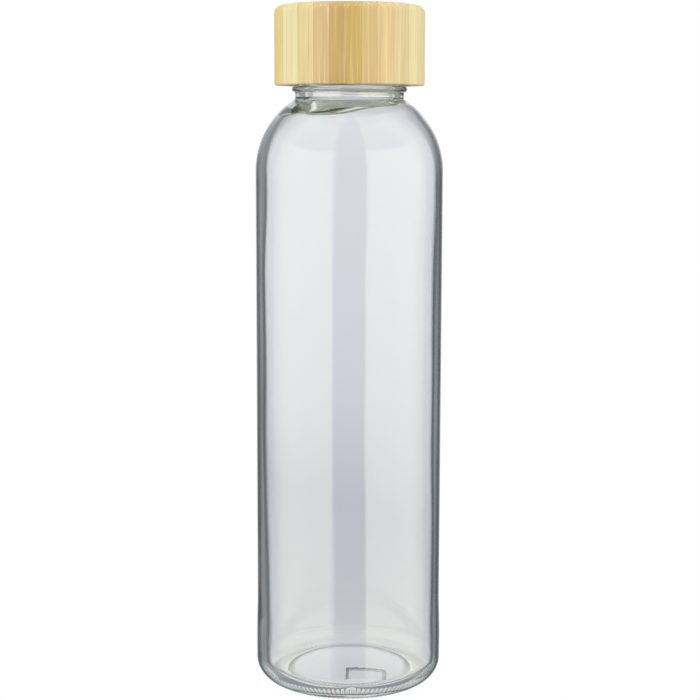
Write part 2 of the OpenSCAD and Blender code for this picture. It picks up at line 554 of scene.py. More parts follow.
def emptied(owner: bpy.types.Material | bpy.types.World) -> Graph:
    """The graph of a material or a world, with no nodes in it yet."""
    owner.use_nodes = True
    owner.node_tree.nodes.clear()
    return Graph(owner.node_tree)


def new_material(name: str) -> tuple[bpy.types.Material, Graph, bpy.types.Node, bpy.types.Node]:
    """Starts a material.

    Args:
        name: The material's name.

    Returns:
        The material, its graph, its Principled BSDF and its output.
    """
    material = bpy.data.materials.new(name)
    graph = emptied(material)
    shader = graph.add("ShaderNodeBsdfPrincipled")
    output = graph.add("ShaderNodeOutputMaterial", {"Surface": shader.outputs[0]})
    return material, graph, shader, output


def surfaced(graph: Graph, shader: bpy.types.Node, skin: bpy.types.Node, strength: float, depth: float,
             plain: dict[str, Value]) -> None:
    """Gives a shader the colour, roughness and relief of a surface group.

    Args:
        graph: The material's graph.
        shader: Its Principled BSDF.
        skin: The surface group's node.
        strength: The bump's strength.
        depth: The bump's depth in millimetres.
        plain: The shader's other inputs.
    """
    bump = graph.add("ShaderNodeBump", {
        "Height": skin.outputs["Height"], "Strength": strength, "Distance": depth * MM})
    graph.fill(shader, {"Base Color": skin.outputs["Color"], "Roughness": skin.outputs["Roughness"],
                        "Normal": bump.outputs[0]} | plain)


@dataclass(frozen=True)
class GlassFinish:
    """Clear soda-lime glass: painted shade darkens its colour where its walls are seen edge-on, so their
    edges look dark, and where it is thick it is faintly green.
    """

    index: float = 1.52
    tint: Colour = (0.66, 0.86, 0.70)
    density: float = 24.0
    # Painted shade: the facing levels where it begins and where it is full, and its colour.
    rim_from: float = 0.66
    rim_dark: float = 0.76
    painted_rim_colour: Colour = (0.02, 0.02, 0.022)
    neck_levels: Point = (206.0, 178.0)
    floor_levels: Point = (10.0, 18.0)
    floor_edge: Point = (25.0, 28.0)

    def material(self) -> bpy.types.Material:
        """Builds the material."""
        material, graph, shader, output = new_material("Clear glass")
        # Painted shade: the colour darkens where a surface is seen edge-on, so the walls look dark at their
        # edges from every side.
        facing = graph.add("ShaderNodeLayerWeight").outputs["Facing"]
        painted_rim_shade = graph.gradient(facing, ((self.rim_from, WHITE), (self.rim_dark, self.painted_rim_colour)))
        x, y, z = graph.position()
        high = z.ramp(self.floor_levels[0] * MM, self.floor_levels[1] * MM)
        wide = graph.from_axis(x, y).ramp(self.floor_edge[0] * MM, self.floor_edge[1] * MM)
        # The painted shade is kept to the walls: off the middle of the base, and fading out up the shoulder
        # towards the neck.
        painted_shade_walls = (high + wide).held() * z.ramp(self.neck_levels[0] * MM, self.neck_levels[1] * MM)
        graph.fill(shader, {"Base Color": graph.mixed(painted_shade_walls, (*WHITE, 1.0), painted_rim_shade), "Roughness": 0.0,
                            "IOR": self.index, "Transmission Weight": 1.0})
        volume = graph.add("ShaderNodeVolumeAbsorption", {
            "Color": (*self.tint, 1.0), "Density": self.density})
        graph.feed(output.inputs["Volume"], volume.outputs[0])
        return material


def fibre_group() -> Group:
    """Builds the shader group of bamboo's fibres, which run along Z through the whole slat.

    They are streaks on the sides of a slat and dots on its ends, because the pattern is solid.

    Returns:
        The group.
    """
    group = Group("Bamboo fibres", TreeKind.SHADER, {
        "Tone": Kind.COLOUR, "Dark Fibre": Kind.COLOUR, "Light Fibre": Kind.COLOUR,
        "Slat": Kind.NUMBER, "Low Side": Kind.NUMBER, "High Side": Kind.NUMBER, "Contrast": Kind.NUMBER,
    }, {"Color": Kind.COLOUR, "Roughness": Kind.NUMBER, "Height": Kind.NUMBER})
    x, y, z = group.position()
    shift = group.given("Slat") * 0.37
    drift = (group.noise(group.combine(x * 60, y * 60 + shift, z * 22), 1.0) - 0.5) * (0.6 * MM)
    x_w, y_w = x + drift, y + drift

    def streaks(across: float, along: float, detail: float) -> Field:
        """Noise stretched along the fibres, with its scales in features per metre."""
        return group.noise(group.combine(x_w * across + shift * 7, y_w * across, z * along), detail)

    broad = streaks(330, 9, 2.0)
    fine = streaks(1500, 26, 2.0)
    hair = streaks(3400, 60, 1.0)
    bundle = group.add("ShaderNodeTexVoronoi", {
        "Vector": group.combine(x_w * 1250 + shift * 7, y_w * 1250, z * 16), "Scale": 1.0})
    core = Field(group, bundle.outputs["Distance"]).ramp(0.34, 0.1)
    scarce = streaks(420, 14, 1.0).ramp(0.45, 0.7)
    contrast = group.given("Contrast")
    dark = ((core * scarce * 0.5) + (0.5 - fine).ramp(0.02, 0.2) * 0.5) * contrast
    light = (fine - 0.5).ramp(0.02, 0.2) * contrast * 0.6
    colour = group.mixed(light.held(), group.given("Tone"), group.given("Light Fibre"))
    colour = group.mixed(dark.held(), colour, group.given("Dark Fibre"))
    shade = (broad - 0.5) * 0.2 + (hair - 0.5) * 0.14 + 1.0
    low, high = x - group.given("Low Side"), group.given("High Side") - x
    glued = low.least(high).ramp(0.16 * MM, 0.02 * MM)
    shade = shade * (1.0 - glued * 0.16)
    group.give("Color", group.shaded(colour, shade))
    group.give("Roughness", 0.42 + (0.5 - fine) * 0.3)
    group.give("Height", fine * 0.6 + hair * 0.2 - core * scarce * 0.5 - glued * 0.4)
    return group


@dataclass(frozen=True)
class BambooFinish:
    """One slat's bamboo under a thin satin lacquer."""

    slot: str
    tone: Colour
    dark: Colour = (0.40, 0.24, 0.07)
    light: Colour = (0.92, 0.80, 0.50)
    contrast: float = 0.5
    index: float = 1.45
    lacquer: float = 0.2
    lacquer_roughness: float = 0.3
    bump: float = 0.35
    relief: float = 0.06

    def material(self, name: str, fibres: Group, number: int, low: float, high: float) -> bpy.types.Material:
        """Builds the slat's material.

        Args:
            name: The slat's name.
            fibres: The shader group of the fibres.
            number: The slat's number, which sets its own pattern.
            low: Its lower glue line, in metres from the axis.
            high: Its upper glue line.

        Returns:
            The material.
        """
        material, graph, shader, _ = new_material(f"Bamboo {name}")
        grain = graph.call(fibres, {
            "Tone": (*self.tone, 1.0), "Dark Fibre": (*self.dark, 1.0), "Light Fibre": (*self.light, 1.0),
            "Slat": float(number), "Low Side": low, "High Side": high, "Contrast": self.contrast})
        surfaced(graph, shader, grain, self.bump, self.relief, {
            "IOR": self.index, "Coat Weight": self.lacquer, "Coat Roughness": self.lacquer_roughness})
        return material


def moulding_group() -> Group:
    """Builds the shader group of a moulded surface: fine texture, and tone that drifts a little."""
    group = Group("Moulded surface", TreeKind.SHADER,
                  {"Tone": Kind.COLOUR, "Grain": Kind.NUMBER, "Drift": Kind.NUMBER},
                  {"Color": Kind.COLOUR, "Roughness": Kind.NUMBER, "Height": Kind.NUMBER})
    x, y, z = group.position()
    grain = group.given("Grain")
    fine = group.noise(group.combine(x * grain, y * grain, z * grain), 3.0)
    wide = group.noise(group.combine(x * 90, y * 90, z * 90), 1.0)
    shade = (wide - 0.5) * group.given("Drift") + 1.0
    group.give("Color", group.shaded(group.given("Tone"), shade))
    group.give("Roughness", 0.38 + (fine - 0.5) * 0.2)
    group.give("Height", fine)
    return group


@dataclass(frozen=True)
class MouldedFinish:
    """A moulded polymer, with a fine texture from its mould.

    Its glow is painted light, standing for the light that it takes in through its own thickness, inside the
    closed cap.
    """

    name: str
    tone: Colour
    grain: float
    drift: float
    translucent: float
    relief: float
    # painted light: the strength of the glow in the surface's own colour
    glow: float = 0.12
    bump: float = 0.3
    scatter: Colour = (0.002, 0.002, 0.0018)

    def material(self, moulding: Group) -> bpy.types.Material:
        """Builds the material from the shader group of a moulded surface."""
        material, graph, shader, _ = new_material(self.name)
        skin = graph.call(moulding, {
            "Tone": (*self.tone, 1.0), "Grain": self.grain, "Drift": self.drift})
        surfaced(graph, shader, skin, self.bump, self.relief, {
            "Subsurface Weight": self.translucent, "Subsurface Radius": self.scatter,
            # Painted light: the surface glows in its own colour.
            "Emission Color": skin.outputs["Color"], "Emission Strength": self.glow})
        return material


# ---- the bottle's pieces ----


@dataclass
class ScrewThread:
    """The thread that the glass and the cap share, with a different section on each."""

    lead: float = 4.23
    turns: float = 1.5
    top_drop: float = 3.0
    start: float = 3.0
    run_out: float = 35.0
    glass_widths: Point = (2.4, 1.0)
    liner_widths: Point = (1.8, 0.7)
    gap: float = 0.35
    flank_gap: float = 0.2

    def low_end(self, rim: float) -> float:
        """Height of the glass thread's lower end, for a rim at that height."""
        return rim - self.top_drop - self.lead * self.turns

    def settings(self, wall: float, height: float, widths: Point, low_end: float) -> dict[str, float]:
        """The tree inputs of one thread.

        Args:
            wall: Radius of the wall that carries it.
            height: How far it stands off that wall, negative towards the axis.
            widths: Its widths at the wall and at the crest.
            low_end: Height of the middle of its lower end.

        Returns:
            The inputs by name, lengths in metres.
        """
        lengths = {"Wall Radius": wall, "Height": height, "Root Width": widths[0],
                   "Crest Width": widths[1], "Lead": self.lead, "Low End": low_end}
        return metres(lengths) | {"Turns": self.turns, "Start": math.radians(self.start),
                                  "Run Out": self.run_out / 360}


@dataclass
class GlassBottle:
    """The blown glass: a straight body, a domed shoulder and a threaded neck with a bead."""

    thread: ScrewThread
    wall: float = 2.2
    heel: float = 8.0
    swell: float = 0.3
    swell_levels: Point = (18.0, 30.0)
    inner_heel: float = 6.0
    shoulder: float = 29.0
    shoulder_drop: float = 44.8
    stand: float = 2.7
    push_up: float = 3.4
    base: float = 3.0
    floor_fall: float = 3.2
    lip: float = 1.0
    hollow_side: float = 1.8
    hollow_fall: float = 2.2
    bore: float = 30.0
    root: float = 35.1
    crest: float = 37.5
    neck: float = 37.5
    neck_height: float = 1.7
    bead: float = 39.8
    bead_edge: float = 1.0
    fillet: float = 1.2
    bore_fillet: float = 1.2
    rim: float = 0.9
    pocket: tuple[float, float, float] = (12.2, 9.0, 0.9)
    pocket_at: Point = (5.9, -13.0)
    pocket_spare: float = 0.3
    pocket_flare: float = 1.18
    knurls: int = 104
    knurl_height: float = 0.4
    knurl_reach: float = 1.8
    ripple: float = 0.25
    lean: float = 0.45
    lean_high: Point = (145.0, 172.0)
    lean_low: Point = (95.0, 38.0)
    tilt: float = 0.035
    tilt_levels: Point = (199.0, 203.0)
    segments: int = 416
    crease: float = 60.0
    hollow_steps: int = 14
    floor_steps: int = 9
    calm: float = 8.0
    calm_steps: int = 4
    cutter_height: float = 2.0
    cutter_grid: tuple[int, int] = (24, 18)

    def __post_init__(self) -> None:
        """Reads the overall sizes from the frame and works out the levels of the neck."""
        _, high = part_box("glass_body")
        self.radius = high.x / MM - self.swell
        self.height = high.z / MM
        self.inner = self.radius - self.wall
        self.stand_r = self.radius + self.swell - self.heel
        self.hollow_r = self.stand_r - self.stand
        self.shoulder_centre = (self.radius - self.shoulder, self.height - self.shoulder_drop)
        self.neck_centre = self._on_shoulder(self.neck / 2 + self.fillet, self.shoulder + self.fillet)
        self.bore_centre = self._on_shoulder(self.bore / 2 + self.bore_fillet,
                                             self.shoulder - self.wall - self.bore_fillet)
        self.bead_level = self.neck_centre[1] + self.neck_height + self.bead_edge

    def hollow_at(self, radius: float) -> float:
        """Height of the roof of the hollow under the base, at a distance from the axis."""
        return self.push_up - self.hollow_fall * (radius / self.hollow_r) ** 2

    def _on_shoulder(self, radius: float, curve: float) -> Point:
        """The point at a distance from the axis on a curve about the shoulder's centre."""
        centre_r, centre_z = self.shoulder_centre
        return radius, centre_z + math.sqrt(curve ** 2 - (radius - centre_r) ** 2)

    def outline(self) -> Outline:
        """Draws the section, from under the base round the outside and back down the inside."""
        line = Outline()
        side_r = self.hollow_r - self.hollow_side
        for step in range(self.hollow_steps + 1):
            r = side_r * step / self.hollow_steps
            line.to(r, self.hollow_at(r))
        line.arc((self.hollow_r, self.lip), self.lip, -122, -90, 4)
        line.to(self.stand_r, 0.0, 5)
        line.arc((self.stand_r, self.heel), self.heel, -90, 0, 20)
        line.to(self.radius + self.swell, self.swell_levels[0], 2)
        line.to(self.radius, self.swell_levels[1], 2)
        line.to(self.radius, self.shoulder_centre[1], 18)
        top = angle_to(self.shoulder_centre, self.neck_centre)
        line.arc(self.shoulder_centre, self.shoulder, 0, top, 24)
        line.arc(self.neck_centre, self.fillet, top + 180, 180, 6)
        line.arc((self.bead / 2 - self.bead_edge, self.bead_level), self.bead_edge, -90, 90, 12)
        root_r = self.root / 2
        line.to(root_r, self.bead_level + self.bead_edge)
        low = self.thread.low_end(self.height) - self.thread.glass_widths[0]
        line.to(root_r, low, 3)
        line.to(root_r, self.height - self.rim, 30)
        line.arc((root_r - self.rim, self.height - self.rim), self.rim, 0, 90, 5)
        bore_r = self.bore / 2
        line.arc((bore_r + self.rim, self.height - self.rim), self.rim, 90, 180, 5)
        line.to(bore_r, self.bore_centre[1] + self.calm, 5)
        for step in range(1, self.calm_steps + 1):
            share = step / self.calm_steps
            line.to(bore_r, self.bore_centre[1] + self.calm * (1 - share), 1, share)
        top = angle_to(self.shoulder_centre, self.bore_centre)
        line.arc(self.bore_centre, self.bore_fillet, 180, top + 180, 8, 1.0)
        line.arc(self.shoulder_centre, self.shoulder - self.wall, top, 0, 20, 1.0)
        floor_z = self.push_up + self.base
        floor_r = self.inner - self.inner_heel
        rim_z = floor_z - self.floor_fall
        line.to(self.inner, rim_z + self.inner_heel, 24, 1.0)
        line.arc((floor_r, rim_z + self.inner_heel), self.inner_heel, 0, -80, 12, 1.0)
        for step in range(self.floor_steps, -1, -1):
            share = step / self.floor_steps
            line.to(floor_r * share, floor_z - self.floor_fall * share ** 2, 1, share)
        return line

    def tree(self, tools: Tooling) -> Group:
        """Builds the tree that makes the glass from its outline."""
        numbers = ("Knurls", "Knurl Height", "Knurl Reach", "Knurl Radius", "Ripple", "Lean",
                   "Lean High Start", "Lean High End", "Lean Low Start", "Lean Low End", "Tilt",
                   "Tilt Start", "Tilt End", "Pocket Roof", "Pocket Fall", "Pocket Drop", "Pocket Flare")
        tree = PieceTree("Glass bottle", tools,
                         {name: Kind.NUMBER for name in THREAD_INPUTS + numbers}
                         | {"Pocket Size": Kind.VECTOR, "Pocket Place": Kind.VECTOR})
        rise = tree.threaded()
        x, y, z = tree.position()
        radius = tree.from_axis(x, y)
        ripple = Field(tree, tree.stored("ripple"))
        waves = (tree.noise(tree.combine(x * 55, y * 55, z * 16), 1.0) - 0.5) * ripple * tree.given("Ripple")
        angle = tree.maths("ARCTAN2", y, x)
        notch = 0.5 - (angle * tree.given("Knurls")).cosine() * 0.5
        ring = z.ramp(tree.given("Knurl Reach"), 0.0) * radius.above(tree.given("Knurl Radius"))
        knurl = notch * ring * tree.given("Knurl Height")
        leaning = tree.climb(z, "Lean High") + tree.climb(z, "Lean Low")
        shift = leaning * ripple * tree.given("Lean")
        tilted = tree.climb(z, "Tilt") * ripple * x * tree.given("Tilt")
        out = (rise + waves) / radius
        moved = tree.add("GeometryNodeSetPosition", {
            "Geometry": tree.turned, "Offset": tree.combine(x * out + shift, y * out, knurl + tilted)})
        cutter = tree.add("GeometryNodeMeshCube", {
            "Size": tree.given("Pocket Size"), "Vertices X": self.cutter_grid[0],
            "Vertices Y": self.cutter_grid[1]})
        placed = tree.add("GeometryNodeTransform", {
            "Geometry": cutter.outputs["Mesh"], "Translation": tree.given("Pocket Place")})
        top, fall = tree.given("Pocket Roof"), tree.given("Pocket Fall")
        domed = tree.add("GeometryNodeSetPosition", {
            "Geometry": placed.outputs[0], "Selection": z.above(0.0),
            "Position": tree.combine(x, y, top - (x * x + y * y) * fall)})
        middle_x, middle_y, _ = tree.split(tree.given("Pocket Place"))
        wide_x = middle_x + (x - middle_x) * tree.given("Pocket Flare")
        wide_y = middle_y + (y - middle_y) * tree.given("Pocket Flare")
        low = top - tree.given("Pocket Drop") - (wide_x * wide_x + wide_y * wide_y) * fall
        flared = tree.add("GeometryNodeSetPosition", {
            "Geometry": domed.outputs[0], "Selection": z.below(0.0),
            "Position": tree.combine(wide_x, wide_y, low)})
        tree.dress(tree.boolean("DIFFERENCE", moved.outputs[0], flared.outputs[0]))
        return tree

    def build(self, tools: Tooling, finish: GlassFinish) -> None:
        """Makes the glass and puts it on its body."""
        root_r = self.root / 2
        width, depth, rise = self.pocket
        settings = self.thread.settings(root_r, self.crest / 2 - root_r, self.thread.glass_widths,
                                        self.thread.low_end(self.height))
        spans = (("Lean High", self.lean_high), ("Lean Low", self.lean_low), ("Tilt", self.tilt_levels))
        for name, (start, end) in spans:
            settings |= metres({f"{name} Start": start, f"{name} End": end})
        settings |= metres({
            "Knurl Height": self.knurl_height, "Knurl Reach": self.knurl_reach,
            "Knurl Radius": self.hollow_r - self.lip, "Ripple": self.ripple, "Lean": self.lean,
            "Pocket Roof": self.push_up + rise, "Pocket Drop": rise + self.pocket_spare})
        settings |= {
            "Segments": self.segments, "Knurls": float(self.knurls), "Tilt": self.tilt,
            "Crease": math.radians(self.crease),
            "Pocket Size": (width * MM, depth * MM, self.cutter_height * MM),
            "Pocket Place": (self.pocket_at[0] * MM, self.pocket_at[1] * MM, 0.0),
            "Pocket Fall": self.hollow_fall / self.hollow_r ** 2 / MM, "Pocket Flare": self.pocket_flare,
            "Finish": finish.material()}
        piece = shaped("glass_bottle", self.outline(), self.tree(tools), settings)
        place(piece, "glass_body", "bottle", "clear_glass")


@dataclass
class SealRing:
    """The silicone ring that lies on the glass rim inside the cap."""

    edge: float = 0.35
    groove: float = 0.12
    groove_top: float = 1.2
    groove_floor: float = 0.6
    segments: int = 256
    crease: float = 50.0

    def outline(self) -> Outline:
        """Draws the ring's section between its CAD corners, with round edges and a sealing groove."""
        low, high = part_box("silicone_seal")
        outer, bottom, top = high.x / MM, low.z / MM, high.z / MM
        inner = frame_bore("silicone_seal")
        line = Outline()
        e = self.edge
        line.arc((inner + e, bottom + e), e, -180, -90, 4)
        line.arc((outer - e, bottom + e), e, -90, 0, 4)
        line.arc((outer - e, top - e), e, 0, 90, 4)
        middle = (inner + outer) / 2
        line.to(middle + self.groove_top / 2, top, 3)
        line.to(middle + self.groove_floor / 2, top - self.groove)
        line.to(middle - self.groove_floor / 2, top - self.groove)
        line.to(middle - self.groove_top / 2, top)
        line.arc((inner + e, top - e), e, 90, 180, 4)
        line.to(inner, bottom + e, 2)
        return line

    def build(self, tools: Tooling, finish: MouldedFinish) -> None:
        """Makes the ring and puts it on its body."""
        tree = PieceTree("Seal ring", tools, {})
        tree.dress(tree.turned)
        piece = shaped("seal_ring", self.outline(), tree, {
            "Segments": self.segments, "Crease": math.radians(self.crease),
            "Finish": finish.material(tools.moulding)})
        place(piece, "silicone_seal", "seal", "silicone")


def frame_bore(node: str) -> float:
    """The smallest distance of a CAD node's points from the axis, in millimetres."""
    return min(math.hypot(v.co.x, v.co.y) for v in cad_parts[node].data.vertices) / MM


@dataclass
class ThreadedLiner:
    """The moulded cup inside the bamboo, with the cap's thread inside and grip ribs outside."""

    thread: ScrewThread
    glass: GlassBottle
    end: float = 1.6
    ribs: int = 36
    rib_height: float = 0.35
    rib_width: float = 1.0
    rib_buried: float = 0.5
    rib_short: float = 2.0
    edge: float = 0.3
    segments: int = 256
    crease: float = 45.0

    def __post_init__(self) -> None:
        """Reads the cup's overall sizes from the frame."""
        low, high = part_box("cap_liner")
        self.low, self.high = low.z / MM, high.z / MM
        self.outer = high.x / MM - self.rib_height
        self.bore = self.glass.crest / 2 + self.thread.gap

    def outline(self) -> Outline:
        """Draws the cup's section, from the middle of its end round its mouth and back up inside."""
        line = Outline()
        e = self.edge
        ceiling = self.high - self.end
        line.to(0.0, ceiling)
        line.to(self.bore - e, ceiling, 6)
        line.arc((self.bore - e, ceiling - e), e, 90, 0, 3)
        line.to(self.bore, self.low + e, 40)
        line.arc((self.bore + e, self.low + e), e, -180, -90, 3)
        line.arc((self.outer - e, self.low + e), e, -90, 0, 3)
        line.arc((self.outer - e, self.high - e), e, 0, 90, 3)
        line.to(0.0, self.high, 8)
        return line

    def tree(self, tools: Tooling) -> Group:
        """Builds the tree that makes the cup from its outline."""
        tree = PieceTree("Threaded liner", tools,
                         {name: Kind.NUMBER for name in THREAD_INPUTS}
                         | {"Ribs": Kind.WHOLE, "Rib Radius": Kind.NUMBER, "Rib Size": Kind.VECTOR,
                            "Rib Place": Kind.VECTOR})
        rise = tree.threaded()
        x, y, _ = tree.position()
        out = rise / tree.from_axis(x, y)
        moved = tree.add("GeometryNodeSetPosition", {
            "Geometry": tree.turned, "Offset": tree.combine(x * out, y * out, 0.0)})
        circle = tree.add("GeometryNodeMeshCircle", {
            "Vertices": tree.given("Ribs"), "Radius": tree.given("Rib Radius")})
        rib = tree.add("GeometryNodeMeshCube", {"Size": tree.given("Rib Size")})
        index = Field(tree, tree.add("GeometryNodeInputIndex").outputs[0])
        turned = tree.combine(0.0, 0.0, index / tree.given("Ribs") * TURN)
        ring = tree.add("GeometryNodeInstanceOnPoints", {
            "Points": circle.outputs["Mesh"], "Instance": rib.outputs["Mesh"], "Rotation": turned})
        placed = tree.add("GeometryNodeTransform", {
            "Geometry": ring.outputs[0], "Translation": tree.given("Rib Place")})
        real = tree.add("GeometryNodeRealizeInstances", {"Geometry": placed.outputs[0]})
        tree.dress(tree.boolean("UNION", moved.outputs[0], real.outputs[0]))
        return tree

    def build(self, tools: Tooling, finish: MouldedFinish) -> None:
        """Makes the cup and puts it on its body."""
        root_r = self.glass.root / 2
        crest_r = root_r + self.thread.gap
        share = self.thread.gap / (self.glass.crest / 2 - root_r)
        glass_root, glass_crest = self.thread.glass_widths
        met = glass_root + (glass_crest - glass_root) * share
        drop = (met + self.thread.liner_widths[1]) / 2 + self.thread.flank_gap
        low_end = self.thread.low_end(self.glass.height) - drop
        height = self.high - self.low - self.rib_short
        settings = self.thread.settings(self.bore, crest_r - self.bore, self.thread.liner_widths, low_end)
        settings |= {
            "Segments": self.segments, "Ribs": self.ribs, "Crease": math.radians(self.crease),
            "Rib Radius": (self.outer + (self.rib_height - self.rib_buried) / 2) * MM,
            "Rib Size": ((self.rib_height + self.rib_buried) * MM, self.rib_width * MM, height * MM),
            "Rib Place": (0.0, 0.0, (self.low + self.high) / 2 * MM),
            "Finish": finish.material(tools.moulding)}
        piece = shaped("threaded_liner", self.outline(), self.tree(tools), settings)
        place(piece, "cap_liner", "cap", "liner_plastic")


@dataclass
class BambooCap:
    """The cap's outside, turned from a block of glued bamboo slats."""

    finishes: tuple[BambooFinish, ...]
    edge: float = 2.8
    foot: float = 0.5
    glue: float = 0.1
    spare: float = 2.0
    reach: float = 1000.0
    segments: int = 288
    crease: float = 30.0

    def __post_init__(self) -> None:
        """Reads the block's overall sizes from the frame."""
        self.names = [f"bamboo_slat_{number:02d}" for number in range(1, len(self.finishes) + 1)]
        boxes = [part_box(name) for name in self.names]
        self.radius = boxes[-1][1].x / MM
        self.low = boxes[0][0].z / MM
        self.high = boxes[len(boxes) // 2][1].z / MM
        self.sides = [(low.x, high.x) for low, high in boxes]
        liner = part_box("cap_liner")[1]
        self.bore = liner.x / MM + self.glue
        self.bore_end = liner.z / MM + self.glue

    def outline(self) -> Outline:
        """Draws the turned block's section, from the middle of its socket round to its top."""
        line = Outline()
        line.to(0.0, self.bore_end)
        line.to(self.bore, self.bore_end, 6)
        line.to(self.bore, self.low + self.foot, 6)
        line.to(self.bore + self.foot, self.low, 2)
        line.to(self.radius - self.foot, self.low, 3)
        line.arc((self.radius - self.foot, self.low + self.foot), self.foot, -90, 0, 5)
        line.to(self.radius, self.high - self.edge, 10)
        line.arc((self.radius - self.edge, self.high - self.edge), self.edge, 0, 90, 12)
        line.to(0.0, self.high, 10)
        return line

    def tree(self, tools: Tooling) -> Group:
        """Builds the tree that makes one slat: the turned block, kept between two glue lines."""
        tree = PieceTree("Bamboo slat", tools,
                         {"Low Side": Kind.NUMBER, "High Side": Kind.NUMBER, "Reach": Kind.NUMBER})
        low, high, reach = tree.given("Low Side"), tree.given("High Side"), tree.given("Reach")
        slab = tree.add("GeometryNodeMeshCube", {"Size": tree.combine(high - low, reach, reach)})
        placed = tree.add("GeometryNodeTransform", {
            "Geometry": slab.outputs["Mesh"], "Translation": tree.combine((low + high) * 0.5, 0.0, 0.0)})
        tree.dress(tree.boolean("INTERSECT", tree.turned, placed.outputs[0]))
        return tree

    def build(self, tools: Tooling) -> None:
        """Makes each slat and puts it on the cap's body."""
        tree = self.tree(tools)
        spare = self.spare * MM
        last = len(self.names)
        for number, (name, sides, finish) in enumerate(zip(self.names, self.sides, self.finishes), 1):
            low = sides[0] - (spare if number == 1 else 0.0)
            high = sides[1] + (spare if number == last else 0.0)
            piece = shaped(name.replace("bamboo_slat", "cap_slat"), self.outline(), tree, {
                "Segments": self.segments, "Low Side": low, "High Side": high, "Reach": self.reach * MM,
                "Crease": math.radians(self.crease),
                "Finish": finish.material(name, tools.fibres, number, low, high)})
            place(piece, name, "cap", finish.slot)


# ---- the studio ----


def room_group() -> Group:
    """Builds the shader group of the studio round the object, as its glass and its finish see it.

    Azimuth is measured from straight behind the object, as the camera stands, so the room turns with
    the camera as if the object stood on a turntable. A pale backdrop stands behind, a dark flag beyond
    each of its edges, and a tall bright panel on each side reaches round towards the camera.

    Returns:
        The group, whose angles are in radians.
    """
    group = Group("Studio room", TreeKind.SHADER, {
        "Backdrop": Kind.COLOUR, "Flag": Kind.COLOUR, "Panel": Kind.COLOUR,
        "Flag Start": Kind.NUMBER, "Flag End": Kind.NUMBER, "Panel Start": Kind.NUMBER,
        "Panel Full": Kind.NUMBER, "Panel End": Kind.NUMBER, "Panel Foot": Kind.NUMBER,
        "Softness": Kind.NUMBER, "Flag Top": Kind.NUMBER,
    }, {"Color": Kind.COLOUR})
    way = group.add("ShaderNodeTexCoord").outputs["Generated"]
    to_camera = {"vector_type": "VECTOR", "convert_from": "WORLD", "convert_to": "CAMERA"}
    seen = group.add("ShaderNodeVectorTransform", {"Vector": way}, **to_camera)
    plumb = group.add("ShaderNodeVectorTransform", {"Vector": (0.0, 0.0, 1.0)}, **to_camera)
    side, rise, depth = group.split(seen.outputs[0])
    _, plumb_rise, plumb_depth = group.split(plumb.outputs[0])
    behind = depth * plumb_rise - rise * plumb_depth
    azimuth = group.maths("ARCTAN2", abs(side), behind)
    soft = group.given("Softness")
    _, _, up = group.split(way)
    flag_start, flag_end = group.given("Flag Start"), group.given("Flag End")
    flagged = azimuth.ramp(flag_start - soft, flag_start) * azimuth.ramp(flag_end + soft, flag_end)
    flagged = flagged * up.ramp(group.given("Flag Top") + FLAG_FADE, group.given("Flag Top"))
    colour = group.mixed(flagged, group.given("Backdrop"), group.given("Flag"))
    panel_end, foot = group.given("Panel End"), group.given("Panel Foot")
    panelled = azimuth.ramp(group.given("Panel Start"), group.given("Panel Full"))
    panelled = panelled * azimuth.ramp(panel_end + soft, panel_end) * up.ramp(foot - FOOT_FADE, foot)
    group.give("Color", group.mixed(panelled, colour, group.given("Panel")))
    return group


@dataclass(frozen=True)
class Room:
    """Sizes, in degrees from straight behind the object, and colours of the studio's surroundings."""

    flag_start: float = 21.0
    flag_end: float = 50.0
    panel_start: float = 52.0
    panel_full: float = 95.0
    panel_end: float = 156.5
    panel_foot: float = -0.40
    softness: float = 4.0
    flag_top: float = 0.5
    flag: Colour = (0.25, 0.255, 0.275)
    panel: Colour = (1.62, 1.62, 1.42)
    gradient: tuple[tuple[float, Colour], ...] = (
        (-1.0, (0.70, 0.71, 0.72)), (-0.45, (0.62, 0.625, 0.65)), (-0.30, (0.56, 0.555, 0.605)),
        (-0.225, (0.53, 0.522, 0.593)), (-0.165, (0.64, 0.626, 0.70)), (-0.106, (0.675, 0.670, 0.743)),
        (-0.047, (0.70, 0.70, 0.765)),
        (0.3, (0.82, 0.82, 0.86)), (1.0, (0.9, 0.9, 0.93)))

    def world(self) -> bpy.types.World:
        """Builds the world: this room for the object, and plain white behind it for the camera."""
        world = bpy.data.worlds.new("Room")
        graph = emptied(world)
        _, _, up = graph.split(graph.add("ShaderNodeTexCoord").outputs["Generated"])
        stops = tuple((height / 2 + 0.5, colour) for height, colour in self.gradient)
        angles = {"Flag Start": self.flag_start, "Flag End": self.flag_end, "Panel Start": self.panel_start,
                  "Panel Full": self.panel_full, "Panel End": self.panel_end, "Softness": self.softness}
        room = graph.call(room_group(), {name: math.radians(angle) for name, angle in angles.items()} | {
            "Backdrop": graph.gradient(up * 0.5 + 0.5, stops), "Flag": (*self.flag, 1.0),
            "Panel": (*self.panel, 1.0), "Panel Foot": self.panel_foot, "Flag Top": self.flag_top})
        lit = graph.add("ShaderNodeBackground", {"Color": room.outputs["Color"], "Strength": 1.0})
        paper = graph.add("ShaderNodeBackground", {"Color": (*WHITE, 1.0), "Strength": 1.0})
        direct = graph.add("ShaderNodeLightPath").outputs["Is Camera Ray"]
        mix = graph.add("ShaderNodeMixShader", {0: direct, 1: lit.outputs[0], 2: paper.outputs[0]})
        graph.add("ShaderNodeOutputWorld", {"Surface": mix.outputs[0]})
        return world


